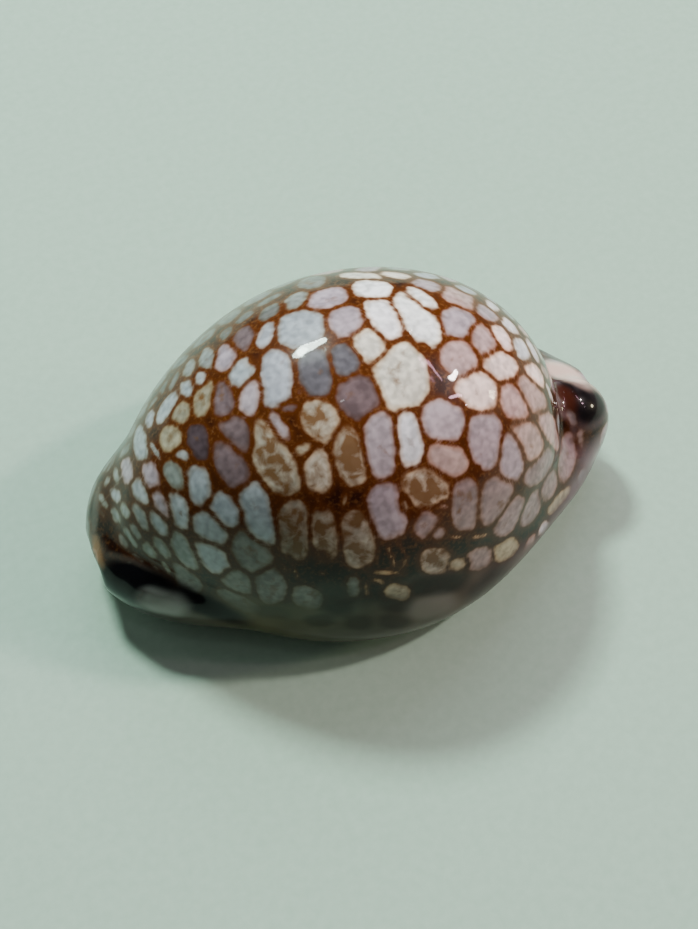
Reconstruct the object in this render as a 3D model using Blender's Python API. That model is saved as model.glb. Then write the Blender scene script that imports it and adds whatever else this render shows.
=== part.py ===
"""Shell of a histrio cowrie, one natural piece, modelled as a single closed body.

Frame: +Z up, the shell lies on its base on z = 0. +X is the back end, where the spire
is buried, -X the front end with the siphon notch. +Y is the outer lip, -Y the inner lip.
Lengths are in millimetres until the points are placed, where MM turns them to metres.
"""
import math
import bmesh
import bpy
import numpy as np

MM = 0.001
SHELL_LENGTH = 62.0

# Dome: two half eggs that meet at its widest section
DOME_FRONT, DOME_BACK, DOME_HALF_WIDTH = 26.8, 24.6, 19.85
DOME_MID_X, DOME_MID_Y, WIDEST_Z = 1.1, -1.75, 9.5
DOME_RISE, DOME_DROP = 22.0, 15.0
FRONT_PINCH, FRONT_PINCH_FAR, FRONT_FALL, BACK_SWELL, PINCH_LIMIT = 0.43, 0.12, 0.25, 0.1, 1.6

# Margin: rounded callus all round the base. Rows are bearing, spread, extra reach
MARGIN_HALF_LENGTH, MARGIN_HALF_WIDTH = 29.9, 20.0
MARGIN_Z, MARGIN_LIP, MARGIN_LIP_END = 5.5, 5.2, 4.4
MARGIN_REACH = (
    (-147.0, 19.4, -0.8),
    (-126.5, 16.5, -1.5),
    (-81.0, 21.0, 1.8),
    (-30.0, 22.0, 1.7),
    (-8.0, 16.0, 2.6),
    (92.0, 40.0, -0.7),
    (39.0, 25.0, -0.5),
    (148.5, 26.0, -2.95),
)
# Softness of the seam between dome and margin, sharper where the margin forms a step
MARGIN_BLEND = 4.0
BLEND_CHANGE = ((-148.0, 30.0, -3.1), (160.0, 28.0, 0.8), (0.0, 38.0, -2.6))

# Beaks beside the two canals: middle, half lengths, turn, softness of the seam
FRONT_INNER_BEAK = ((-21.7, -5.5, 6.2), (5.1, 4.2, 4.2), 22.0, 1.2)
FRONT_OUTER_BEAK = ((-21.0, 3.2, 6.8), (5.3, 3.85, 6.1), -7.0, 4.0)
BACK_INNER_BEAK = ((26.1, -5.4, 8.0), (5.6, 4.65, 5.6), -9.0, 1.4)
BACK_OUTER_BEAK = ((25.6, -0.6, 6.1), (6.8, 3.35, 5.8), -18.5, 1.6)
BEAKS = (FRONT_INNER_BEAK, FRONT_OUTER_BEAK, BACK_INNER_BEAK, BACK_OUTER_BEAK)

# Slot between the lips: a bowed centreline, wider towards the front
SLOT_HALF_LENGTH, LIP_ROUND = 22.8, 2.0
SLOT_Y, SLOT_BOW, SLOT_BOW_X, FRONT_HOOK, HOOK_X = 3.1, 0.0045, -4.0, 0.03, -22.0
SLOT_HALF_WIDTH, SLOT_WIDENING = 1.3, 0.35
TOOTH_PITCH, GROOVE_DEPTH, OUTER_TOOTH_RUN, INNER_TOOTH_RUN = 1.75, 0.42, 3.6, 3.0
TOOTH_SHARPNESS, TEETH_END, TEETH_FADE = 0.8, 21.0, 2.0

# Canals at the two ends: side, half width, height of the roof
CANALS = ((-1.0, 1.45, 5.8), (1.0, 1.3, 5.6))
CANAL_START, CANAL_FLARE, FLARE_START, CANAL_BLEND = 21.0, 0.15, 3.0, 1.8
CANAL_CORNER, CANAL_RUN_IN, ROOF_END, ROOF_LIFT = 2.0, 3.0, 6.5, 0.35

# Underside: a small flat to rest on, then a slope up to the margin and the two ends
FLAT_HALF_X, FLAT_HALF_Y, FLAT_MID_Y = 13.0, 9.0, 1.0
END_SLOPE, SIDE_SLOPE, EDGE_ROUND, BASE_BLEND = 0.12, 0.14, 1.4, 2.0
RUBBED_FLAT, ABOVE_ALL = 0.06, 60.0

# Hollow inside: the dome less its wall, with a floor over the thick base
CAVITY_MID, CAVITY_REACH = (0.5, -1.5, 11.0), 40.0
WALL, FLOOR_Z, FLOOR_BLEND = 1.9, 3.8, 5.0

# Points along each rib: over the back, under the base, round the lip, inside
RIBS, OUTER_RINGS, BASE_RINGS, LIP_RINGS, FLOOR_RINGS, INNER_RINGS = 320, 40, 9, 5, 5, 7
RIB_CROWDING, BACK_BEARING, FRONT_BEARING = 0.38, -5.0, 3.0
SLOT_EVENNESS, SLOT_END_ROUND = 0.1, 12
EYE_Z, FAR, NEAR, STRIDE = 2.5, 48.0, 3.0, 0.5
TOP_VIEW, TURN_VIEW, LOWEST_VIEW, STEEP_STEPS, FLAT_STEPS = 90.0, 30.0, -7.0, 50, 150
STEP_JUMP, JUMP_VIEW, MARGIN_FOOT, FALL_BACK = 1.2, 20.0, 1.1, 2.6
BASE_SEARCH_LOW, BASE_SEARCH_HIGH, BASE_STRIDE, HALVINGS = -1.0, 13.0, 0.25, 26
KEPT_SHARE = 0.21
TINY = 1e-9


def clear_scene():
    for thing in list(bpy.data.objects):
        bpy.data.objects.remove(thing, do_unlink=True)


def enamel():
    material = bpy.data.materials.new("cowrie_enamel")
    material.use_nodes = True
    shader = material.node_tree.nodes["Principled BSDF"]
    shader.inputs["Base Color"].default_value = (0.36, 0.22, 0.15, 1.0)
    shader.inputs["Roughness"].default_value = 0.16
    return material


def soft_min(a, b, blend):
    share = np.clip(0.5 + 0.5 * (b - a) / blend, 0, 1)
    return b * (1 - share) + a * share - blend * share * (1 - share)


def soft_max(a, b, blend):
    return -soft_min(-a, -b, blend)


def ease(t):
    t = np.clip(t, 0, 1)
    return t * t * (3 - 2 * t)


def by_bearing(bearing, rows):
    total = 0
    for middle, spread, amount in rows:
        off = (np.degrees(bearing) - middle + 180) % 360 - 180
        total = total + amount * np.exp(-((off / spread) ** 2))
    return total


def dome(p):
    x = p[..., 0] - DOME_MID_X
    y = p[..., 1] - DOME_MID_Y
    z = p[..., 2] - WIDEST_Z
    front = x < 0
    along = x / np.where(front, DOME_FRONT, DOME_BACK)
    square = np.minimum(along * along, PINCH_LIMIT)
    pinch = np.where(y < 0, FRONT_PINCH, FRONT_PINCH_FAR)
    half_width = DOME_HALF_WIDTH * (1 - np.where(front, pinch, 0) * square)
    rise = DOME_RISE * (1 - np.where(front, FRONT_FALL, -BACK_SWELL) * square)
    height = np.where(z > 0, rise, DOME_DROP)
    ratio = np.sqrt(along**2 + (y / half_width) ** 2 + (z / height) ** 2) + TINY
    return np.sqrt(x * x + y * y + z * z) * (1 - 1 / ratio)


def margin(p, bearing):
    across = p[..., 0] / MARGIN_HALF_LENGTH
    aside = p[..., 1] / MARGIN_HALF_WIDTH
    ratio = np.sqrt(across**2 + aside**2) + TINY
    slope = np.sqrt((across / MARGIN_HALF_LENGTH) ** 2 + (aside / MARGIN_HALF_WIDTH) ** 2)
    outward = (ratio - 1) * ratio / (slope + TINY) - by_bearing(bearing, MARGIN_REACH)
    lip = MARGIN_LIP + (MARGIN_LIP_END - MARGIN_LIP) * np.cos(bearing) ** 2
    return np.sqrt(np.maximum(outward + lip, 0) ** 2 + (p[..., 2] - MARGIN_Z) ** 2) - lip


def beak(p, middle, half, turn):
    q = p - np.array(middle)
    c = math.cos(math.radians(turn))
    s = math.sin(math.radians(turn))
    local = np.stack([q[..., 0] * c + q[..., 1] * s, q[..., 1] * c - q[..., 0] * s, q[..., 2]], -1)
    near = np.linalg.norm(local / np.array(half), axis=-1) + TINY
    steep = np.linalg.norm(local / np.array(half) ** 2, axis=-1) + TINY
    return near * (near - 1) / steep


def slot_y(x):
    hook = FRONT_HOOK * np.minimum(x - HOOK_X, 0) ** 2
    return SLOT_Y - SLOT_BOW * (x - SLOT_BOW_X) ** 2 - hook


def canal(p, side, half_width, roof):
    out = p[..., 0] * side - CANAL_START
    flare = CANAL_FLARE * np.maximum(out - FLARE_START, 0)
    across = np.abs(p[..., 1] - slot_y(p[..., 0])) - half_width - flare
    top = roof + ROOF_LIFT * np.maximum(out - ROOF_END, 0) ** 2
    return soft_max(soft_max(across, p[..., 2] - top, CANAL_CORNER), -out, CANAL_RUN_IN)


def base_height(x, y):
    past_end = np.maximum(0, np.abs(x) - FLAT_HALF_X)
    past_side = np.maximum(0, np.abs(y - FLAT_MID_Y) - FLAT_HALF_Y)
    end_lift = END_SLOPE * (np.sqrt(past_end**2 + EDGE_ROUND**2) - EDGE_ROUND)
    side_lift = SIDE_SLOPE * (np.sqrt(past_side**2 + EDGE_ROUND**2) - EDGE_ROUND)
    return end_lift + side_lift


def outside(p):
    """Signed distance to the outer skin, roughly: below zero in the shell."""
    bearing = np.arctan2(p[..., 1] / MARGIN_HALF_WIDTH, p[..., 0] / MARGIN_HALF_LENGTH)
    seam = MARGIN_BLEND + by_bearing(bearing, BLEND_CHANGE)
    d = soft_min(dome(p), margin(p, bearing), seam)
    for middle, half, turn, blend in BEAKS:
        d = soft_min(d, beak(p, middle, half, turn), blend)
    for side, half_width, roof in CANALS:
        d = soft_max(d, -canal(p, side, half_width, roof), CANAL_BLEND)
    return soft_max(d, base_height(p[..., 0], p[..., 1]) - p[..., 2], BASE_BLEND)


def close_in(field, inner, outer):
    for _ in range(HALVINGS):
        middle = (inner + outer) / 2
        within = field(middle) < 0
        inner = np.where(within, middle, inner)
        outer = np.where(within, outer, middle)
    return (inner + outer) / 2


def outermost(eye, rays):
    reach = np.full(rays.shape[:-1], NEAR)
    found = np.zeros(reach.shape, bool)
    for distance in np.arange(FAR, NEAR, -STRIDE):
        new = (outside(eye + rays * distance) < 0) & ~found
        reach[new] = distance
        found |= new
    return close_in(lambda t: outside(eye + rays * t[..., None]), reach, reach + STRIDE)


def outer_rings(bearing):
    """Points over the back, evenly spaced along every rib down to the margin's foot."""
    eye = np.array((0, 0, EYE_Z))
    steep = np.linspace(TOP_VIEW, TURN_VIEW, STEEP_STEPS, endpoint=False)
    flat = np.linspace(TURN_VIEW, LOWEST_VIEW, FLAT_STEPS)
    side, view = np.meshgrid(bearing, np.radians(np.concatenate([steep, flat])), indexing="ij")
    rays = np.stack([np.cos(view) * np.cos(side), np.cos(view) * np.sin(side), np.sin(view)], -1)
    reach = outermost(eye, rays)
    skin = eye + rays * reach[..., None]
    stop = skin[..., 2] < base_height(skin[..., 0], skin[..., 1]) + MARGIN_FOOT
    inward = reach[:, :-1] - reach[:, 1:] > STEP_JUMP
    low = view < math.radians(JUMP_VIEW)
    stop[:, 1:] |= inward & low[:, 1:]
    widest = np.maximum.accumulate(np.where(low, reach, 0), axis=1)
    stop |= low & (reach < widest - FALL_BACK)
    last = np.argmax(stop, axis=1)
    rings = np.empty((len(bearing), OUTER_RINGS, 3))
    for rib, end in enumerate(last):
        path = skin[rib, :end]
        run = np.concatenate([[0], np.cumsum(np.linalg.norm(np.diff(path, axis=0), axis=1))])
        marks = np.linspace(0, run[-1], OUTER_RINGS + 1)[1:]
        for axis in range(3):
            rings[rib, :, axis] = np.interp(marks, run, path[:, axis])
    return skin[:, 0].mean(0), rings


def slot_ring(turn, wider):
    u = (np.cos(turn) + SLOT_EVENNESS * np.cos(3 * turn)) / (1 + SLOT_EVENNESS)
    x = (SLOT_HALF_LENGTH + wider) * u
    half = SLOT_HALF_WIDTH - SLOT_WIDENING * u + wider
    y = slot_y(x) + np.sign(np.sin(turn)) * half * np.sqrt(np.maximum(1 - u**SLOT_END_ROUND, 0))
    return np.stack([x, y], -1)


def base_rings(foot, rim, groove, turn):
    """Points under the base, from the margin's foot to the lip, with the teeth's grooves."""
    share = np.arange(1, BASE_RINGS + 1) / BASE_RINGS
    plan = foot[:, None] + (rim - foot)[:, None] * share[None, :, None]
    within = np.full(plan.shape[:2], BASE_SEARCH_HIGH)
    found = np.zeros(within.shape, bool)

    def at_height(z):
        return outside(np.concatenate([plan, z[..., None]], -1))

    for level in np.arange(BASE_SEARCH_LOW, BASE_SEARCH_HIGH, BASE_STRIDE):
        new = (at_height(np.full(within.shape, level)) < 0) & ~found
        within[new] = level
        found |= new
    height = np.maximum(close_in(at_height, within, within - BASE_STRIDE), 0)
    run = np.where(np.sin(turn) > 0, OUTER_TOOTH_RUN, INNER_TOOTH_RUN)
    from_rim = np.linalg.norm(plan - rim[:, None], axis=-1)
    cut = groove[:, None] * ease(1 - from_rim / run[:, None])
    return np.concatenate([plan, (height + cut)[..., None]], -1), height[:, -1]


def lip_rings(rim, edge, rim_height, groove):
    inward = edge - rim
    inward_unit = inward / np.linalg.norm(inward, axis=1, keepdims=True)
    rings = []
    for angle in np.linspace(0, math.pi / 2, LIP_RINGS + 1)[1:]:
        plan = rim + inward * math.sin(angle) - inward_unit * (groove * math.sin(angle))[:, None]
        z = rim_height + LIP_ROUND * (1 - math.cos(angle)) + groove * math.cos(angle)
        rings.append(np.concatenate([plan, z[:, None]], -1))
    return np.stack(rings, 1)


def inside(p):
    return soft_max(dome(p) + WALL, FLOOR_Z - p[..., 2], FLOOR_BLEND)


def between(start, end, share):
    """Direction part of the way from one unit direction to another."""
    angle = np.arccos(np.clip((start * end).sum(-1, keepdims=True), -1, 1))
    return (np.sin((1 - share) * angle) * start + np.sin(share * angle) * end) / np.sin(angle)


def inner_rings(edge, bearing):
    middle = np.array(CAVITY_MID)
    flat = np.zeros(len(bearing))
    down = np.stack([edge[:, 0] - middle[0], edge[:, 1] - middle[1], flat + FLOOR_Z - middle[2]], -1)
    down /= np.linalg.norm(down, axis=1, keepdims=True)
    out = np.stack([np.cos(bearing), np.sin(bearing), flat], -1)
    up = np.stack([flat, flat, flat + 1], -1)
    looks = [between(down, out, share) for share in np.linspace(0, 1, FLOOR_RINGS + 1)]
    looks += [between(out, up, share) for share in np.linspace(0, 1, INNER_RINGS + 1)[1:]]
    rays = np.stack(looks, 1)
    none = np.zeros(rays.shape[:-1])
    reach = close_in(lambda t: inside(middle + rays * t[..., None]), none, none + CAVITY_REACH)
    points = middle + rays * reach[..., None]
    return points[:, :-1], points[0, -1]


def shell_points():
    """One point for every rib and ring, the outer top and the inner top."""
    turn = np.arange(RIBS) * 2 * math.pi / RIBS
    bearing = turn - 0.5 * RIB_CROWDING * np.sin(2 * turn)
    bearing += math.radians(BACK_BEARING) * (1 + np.cos(turn)) / 2
    bearing += math.radians(FRONT_BEARING) * (1 - np.cos(turn)) / 2
    top, outer = outer_rings(bearing)
    rim = slot_ring(turn, LIP_ROUND)
    edge = slot_ring(turn, 0.0)
    valley = (0.5 - 0.5 * np.cos(2 * math.pi * rim[:, 0] / TOOTH_PITCH)) ** TOOTH_SHARPNESS
    groove = GROOVE_DEPTH * valley * ease((TEETH_END - np.abs(rim[:, 0])) / TEETH_FADE)
    base, rim_height = base_rings(outer[:, -1, :2], rim, groove, turn)
    lip = lip_rings(rim, edge, rim_height, groove)
    inner, inner_top = inner_rings(edge, bearing)
    return top, np.concatenate([outer, base, lip, inner], 1), inner_top


def room_above_table():
    """Block from the resting plane upwards, which trims the base to a true flat."""
    block = bmesh.new()
    bmesh.ops.create_cube(block, size=2 * ABOVE_ALL * MM)
    bmesh.ops.translate(block, verts=block.verts, vec=(0, 0, ABOVE_ALL * MM))
    mesh = bpy.data.meshes.new("room_above_table")
    block.to_mesh(mesh)
    block.free()
    cutter = bpy.data.objects.new("room_above_table", mesh)
    bpy.context.collection.objects.link(cutter)
    cutter.hide_render = True
    cutter.display_type = "WIRE"
    return cutter


def shell():
    top, points, inner_top = shell_points()
    every = np.concatenate([points.reshape(-1, 3), top[None], inner_top[None]])
    low = every.min(0)
    high = every.max(0)
    foot = np.array(((low[0] + high[0]) / 2, (low[1] + high[1]) / 2, low[2]))
    size = SHELL_LENGTH / (high[0] - low[0]) * MM
    rings = points.shape[1]
    body = bmesh.new()
    bmesh.ops.create_uvsphere(body, u_segments=RIBS, v_segments=rings + 1, radius=1.0)
    for vert in body.verts:
        ring = round(math.acos(max(-1.0, min(1.0, vert.co.z))) / math.pi * (rings + 1)) - 1
        rib = round(math.atan2(vert.co.y, vert.co.x) / (2 * math.pi) * RIBS) % RIBS
        if ring < 0:
            place = top
        elif ring >= rings:
            place = inner_top
        else:
            place = points[rib, ring]
        vert.co = (place - foot) * size
        vert.co.z -= RUBBED_FLAT * MM
    mesh = bpy.data.meshes.new("cowrie_shell")
    body.to_mesh(mesh)
    body.free()
    thing = bpy.data.objects.new("cowrie_shell", mesh)
    bpy.context.collection.objects.link(thing)
    mesh.materials.append(enamel())
    thinning = thing.modifiers.new("fewer_facets", "DECIMATE")
    thinning.ratio = KEPT_SHARE
    flat = thing.modifiers.new("rubbed_flat", "BOOLEAN")
    flat.operation = "INTERSECT"
    flat.solver = "EXACT"
    flat.object = room_above_table()


clear_scene()
shell()
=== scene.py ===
"""Looks of a histrio cowrie shell, lying on its base on a pale studio table.

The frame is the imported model's: metres, +Z up, -X the front end with the siphon notch,
+X the back end with the buried spire, +Y the outer lip and -Y the inner lip.
The shell's form is worked out in millimetres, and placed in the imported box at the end.
"""
import math

import bmesh
import bpy
import numpy as np
from mathutils import Matrix, Vector, noise
from mathutils.bvhtree import BVHTree


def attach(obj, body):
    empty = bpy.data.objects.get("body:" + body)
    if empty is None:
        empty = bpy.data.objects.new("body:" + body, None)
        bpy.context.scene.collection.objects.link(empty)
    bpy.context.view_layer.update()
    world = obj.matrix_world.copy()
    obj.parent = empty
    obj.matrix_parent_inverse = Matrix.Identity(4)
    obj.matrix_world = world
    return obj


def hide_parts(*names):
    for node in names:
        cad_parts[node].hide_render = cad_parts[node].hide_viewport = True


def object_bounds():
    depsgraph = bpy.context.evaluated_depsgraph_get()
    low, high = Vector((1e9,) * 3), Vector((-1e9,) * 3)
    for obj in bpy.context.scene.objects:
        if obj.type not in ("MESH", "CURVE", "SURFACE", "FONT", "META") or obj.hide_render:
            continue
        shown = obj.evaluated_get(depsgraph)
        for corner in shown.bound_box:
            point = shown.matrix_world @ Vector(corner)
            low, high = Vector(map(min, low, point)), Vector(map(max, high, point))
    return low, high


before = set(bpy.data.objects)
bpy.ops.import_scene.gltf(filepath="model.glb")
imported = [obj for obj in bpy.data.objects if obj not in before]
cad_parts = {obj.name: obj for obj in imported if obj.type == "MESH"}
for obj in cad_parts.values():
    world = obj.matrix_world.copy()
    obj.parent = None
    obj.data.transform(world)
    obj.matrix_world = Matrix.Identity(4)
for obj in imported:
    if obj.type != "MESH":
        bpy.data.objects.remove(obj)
CAD_LOW, CAD_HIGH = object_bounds()
MM = 0.001

# Photograph: its size, and where its camera stood, in degrees and in the form's millimetres
PHOTO_WIDTH, PHOTO_HEIGHT = 698, 929
CAMERA_AZIMUTH, CAMERA_ELEVATION, CAMERA_AWAY = -22.68, 56.6, 190.0
CAMERA_AIM = (1.172, -2.31, 9.0)
FOCAL_PIXELS, SENSOR_WIDTH = 1696.0, 36.0
# A pixel past the shell's outline is pulled towards this middle, in steps of this share
PHOTO_MIDDLE, PULL_STEPS, PULL_SHARE = (345, 455), 40, 0.01

# Dome: two half eggs that meet at its widest section
DOME_FRONT, DOME_BACK, DOME_HALF_WIDTH = 26.8, 24.6, 19.85
DOME_MID_X, DOME_MID_Y, WIDEST_Z = 1.1, -1.75, 9.5
DOME_RISE, DOME_DROP = 22.0, 15.0
FRONT_PINCH, FRONT_PINCH_FAR, FRONT_FALL, BACK_SWELL, PINCH_LIMIT = 0.43, 0.12, 0.25, 0.1, 1.6

# Margin: rounded callus all round the base. Rows are bearing, spread, extra reach
MARGIN_HALF_LENGTH, MARGIN_HALF_WIDTH = 29.9, 20.0
MARGIN_Z, MARGIN_LIP, MARGIN_LIP_END = 5.5, 5.2, 4.4
MARGIN_REACH = (
    (-147.0, 19.4, -0.8), (-126.5, 16.5, -1.5), (-81.0, 21.0, 1.8), (-30.0, 22.0, 1.7),
    (-8.0, 16.0, 2.6), (92.0, 40.0, -0.7), (39.0, 25.0, -0.5), (148.5, 26.0, -2.95),
)
# Softness of the seam between dome and margin, sharper where the margin forms a step
MARGIN_BLEND = 4.0
BLEND_CHANGE = ((-148.0, 30.0, -3.1), (160.0, 28.0, 0.8), (0.0, 38.0, -2.6))

# Beaks beside the two canals: middle, half lengths, turn, softness of the seam
FRONT_INNER_BEAK = ((-21.7, -5.5, 6.2), (5.1, 4.2, 4.2), 22.0, 1.2)
FRONT_OUTER_BEAK = ((-21.0, 3.2, 6.8), (5.3, 3.85, 6.1), -7.0, 4.0)
BACK_INNER_BEAK = ((26.1, -5.4, 8.0), (5.6, 4.65, 5.6), -9.0, 1.4)
BACK_OUTER_BEAK = ((25.6, -0.6, 6.1), (6.8, 3.35, 5.8), -18.5, 1.6)
BEAKS = (FRONT_INNER_BEAK, FRONT_OUTER_BEAK, BACK_INNER_BEAK, BACK_OUTER_BEAK)

# Slot between the lips: a bowed centreline, wider towards the front
SLOT_HALF_LENGTH, LIP_ROUND = 22.8, 2.0
SLOT_Y, SLOT_BOW, SLOT_BOW_X, FRONT_HOOK, HOOK_X = 3.1, 0.0045, -4.0, 0.03, -22.0
SLOT_HALF_WIDTH, SLOT_WIDENING = 1.3, 0.35
TOOTH_PITCH, GROOVE_DEPTH, OUTER_TOOTH_RUN, INNER_TOOTH_RUN = 1.75, 0.42, 3.6, 3.0
TOOTH_SHARPNESS, TEETH_END, TEETH_FADE = 0.8, 21.0, 2.0

# Canals at the two ends: side, half width, height of the roof
CANALS = ((-1.0, 1.45, 5.8), (1.0, 1.3, 5.6))
CANAL_START, CANAL_FLARE, FLARE_START, CANAL_BLEND = 21.0, 0.15, 3.0, 1.8
CANAL_CORNER, CANAL_RUN_IN, ROOF_END, ROOF_LIFT = 2.0, 3.0, 6.5, 0.35

# Underside: a small flat to rest on, then a slope up to the margin and the two ends
FLAT_HALF_X, FLAT_HALF_Y, FLAT_MID_Y = 13.0, 9.0, 1.0
END_SLOPE, SIDE_SLOPE, EDGE_ROUND, BASE_BLEND, RUBBED_FLAT = 0.12, 0.14, 1.4, 2.0, 0.06

# Hollow inside: the dome less its wall, with a floor over the thick base
CAVITY_MID, CAVITY_REACH = (0.5, -1.5, 11.0), 40.0
WALL, FLOOR_Z, FLOOR_BLEND = 1.9, 3.8, 5.0

# Points along each rib: over the back, under the base, round the lip, inside
RIBS = 540
OUTER_RINGS, BASE_RINGS, LIP_RINGS, FLOOR_RINGS, INNER_RINGS = 145, 18, 7, 4, 6
# Ribs crowd towards the two ends, and end at these bearings in degrees
RIB_CROWDING, BACK_BEARING, FRONT_BEARING = 0.38, -5.0, 3.0
SLOT_EVENNESS, SLOT_END_ROUND = 0.1, 12
# Rays from an eye inside find the skin. They tilt in steps from straight up to the lowest view
EYE_Z, FAR, NEAR, STRIDE, LOWEST_VIEW, TURN_VIEW = 2.5, 38.0, 13.0, 0.5, -7.0, 30.0
STEEP_STEPS, FLAT_STEPS = 60, 180
# A rib stops at the margin's foot, or where its reach jumps in or falls back by this much
STEP_JUMP, JUMP_VIEW, MARGIN_FOOT, FALL_BACK = 1.2, 20.0, 1.1, 2.6
# Levels tried for the underside, and how often a crossing is halved to find it
BASE_SEARCH_LOW, BASE_SEARCH_HIGH, BASE_STRIDE, HALVINGS = -1.0, 13.0, 0.25, 16
TINY, TINY_TURN = 1e-9, 1e-3


def soft_min(a, b, blend):
    """The lesser of two distances, rounded over where they are nearly equal."""
    share = np.clip(0.5 + 0.5 * (b - a) / blend, 0, 1)
    return b * (1 - share) + a * share - blend * share * (1 - share)


def soft_max(a, b, blend):
    return -soft_min(-a, -b, blend)


def ease(t):
    """Goes from 0 to 1 with t, gently at both ends."""
    t = np.clip(t, 0, 1)
    return t * t * (3 - 2 * t)


def by_bearing(bearing, rows):
    """Sum of soft bumps round the shell, each with its middle and spread in degrees."""
    total = 0
    for middle, spread, amount in rows:
        off = (np.degrees(bearing) - middle + 180) % 360 - 180
        total = total + amount * np.exp(-((off / spread) ** 2))
    return total


def bearing_of(p):
    """Angle round the margin's oval, 0 at the back end."""
    return np.arctan2(p[..., 1] / MARGIN_HALF_WIDTH, p[..., 0] / MARGIN_HALF_LENGTH)


def dome(p):
    """Signed distance, roughly, to the back's half eggs."""
    x = p[..., 0] - DOME_MID_X
    y = p[..., 1] - DOME_MID_Y
    z = p[..., 2] - WIDEST_Z
    front = x < 0
    along = x / np.where(front, DOME_FRONT, DOME_BACK)
    square = np.minimum(along * along, PINCH_LIMIT)
    pinch = np.where(y < 0, FRONT_PINCH, FRONT_PINCH_FAR)
    half_width = DOME_HALF_WIDTH * (1 - np.where(front, pinch, 0) * square)
    rise = DOME_RISE * (1 - np.where(front, FRONT_FALL, -BACK_SWELL) * square)
    height = np.where(z > 0, rise, DOME_DROP)
    ratio = np.sqrt(along**2 + (y / half_width) ** 2 + (z / height) ** 2) + TINY
    return np.sqrt(x * x + y * y + z * z) * (1 - 1 / ratio)


def margin(p, bearing):
    """Signed distance, roughly, to the rounded callus round the base."""
    across = p[..., 0] / MARGIN_HALF_LENGTH
    aside = p[..., 1] / MARGIN_HALF_WIDTH
    ratio = np.sqrt(across**2 + aside**2) + TINY
    slope = np.sqrt((across / MARGIN_HALF_LENGTH) ** 2 + (aside / MARGIN_HALF_WIDTH) ** 2)
    outward = (ratio - 1) * ratio / (slope + TINY) - by_bearing(bearing, MARGIN_REACH)
    lip = MARGIN_LIP + (MARGIN_LIP_END - MARGIN_LIP) * np.cos(bearing) ** 2
    return np.sqrt(np.maximum(outward + lip, 0) ** 2 + (p[..., 2] - MARGIN_Z) ** 2) - lip


def beak(p, middle, half, turn):
    """Signed distance, roughly, to one egg-shaped beak beside a canal."""
    q = p - np.array(middle)
    c = math.cos(math.radians(turn))
    s = math.sin(math.radians(turn))
    local = np.stack([q[..., 0] * c + q[..., 1] * s, q[..., 1] * c - q[..., 0] * s, q[..., 2]], -1)
    near = np.linalg.norm(local / np.array(half), axis=-1) + TINY
    steep = np.linalg.norm(local / np.array(half) ** 2, axis=-1) + TINY
    return near * (near - 1) / steep


def slot_y(x):
    """Centreline of the slot: bowed, with a hook at the front end."""
    hook = FRONT_HOOK * np.minimum(x - HOOK_X, 0) ** 2
    return SLOT_Y - SLOT_BOW * (x - SLOT_BOW_X) ** 2 - hook


def canal(p, side, half_width, roof):
    """Signed distance, roughly, to the space that a canal cuts between its beaks."""
    out = p[..., 0] * side - CANAL_START
    flare = CANAL_FLARE * np.maximum(out - FLARE_START, 0)
    across = np.abs(p[..., 1] - slot_y(p[..., 0])) - half_width - flare
    top = roof + ROOF_LIFT * np.maximum(out - ROOF_END, 0) ** 2
    return soft_max(soft_max(across, p[..., 2] - top, CANAL_CORNER), -out, CANAL_RUN_IN)


def base_height(x, y):
    """Height of the underside: level on the flat, rising to the ends and the margin."""
    past_end = np.maximum(0, np.abs(x) - FLAT_HALF_X)
    past_side = np.maximum(0, np.abs(y - FLAT_MID_Y) - FLAT_HALF_Y)
    end_lift = END_SLOPE * (np.sqrt(past_end**2 + EDGE_ROUND**2) - EDGE_ROUND)
    side_lift = SIDE_SLOPE * (np.sqrt(past_side**2 + EDGE_ROUND**2) - EDGE_ROUND)
    return end_lift + side_lift


def outside(p):
    """Signed distance to the outer skin, roughly: below zero in the shell."""
    bearing = bearing_of(p)
    seam = MARGIN_BLEND + by_bearing(bearing, BLEND_CHANGE)
    d = soft_min(dome(p), margin(p, bearing), seam)
    for middle, half, turn, blend in BEAKS:
        d = soft_min(d, beak(p, middle, half, turn), blend)
    for side, half_width, roof in CANALS:
        d = soft_max(d, -canal(p, side, half_width, roof), CANAL_BLEND)
    return soft_max(d, base_height(p[..., 0], p[..., 1]) - p[..., 2], BASE_BLEND)


def close_in(field, inner, outer):
    """Where a field crosses zero between a distance inside and one outside."""
    for _ in range(HALVINGS):
        middle = (inner + outer) / 2
        within = field(middle) < 0
        inner = np.where(within, middle, inner)
        outer = np.where(within, outer, middle)
    return (inner + outer) / 2


def outermost(eye, rays):
    """How far each ray goes to the last crossing of the outer skin."""
    reach = np.full(rays.shape[:-1], NEAR)
    found = np.zeros(reach.shape, bool)
    for distance in np.arange(FAR, NEAR, -STRIDE):
        new = (outside(eye + rays * distance) < 0) & ~found
        reach[new] = distance
        found |= new
    return close_in(lambda t: outside(eye + rays * t[..., None]), reach, reach + STRIDE)


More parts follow.
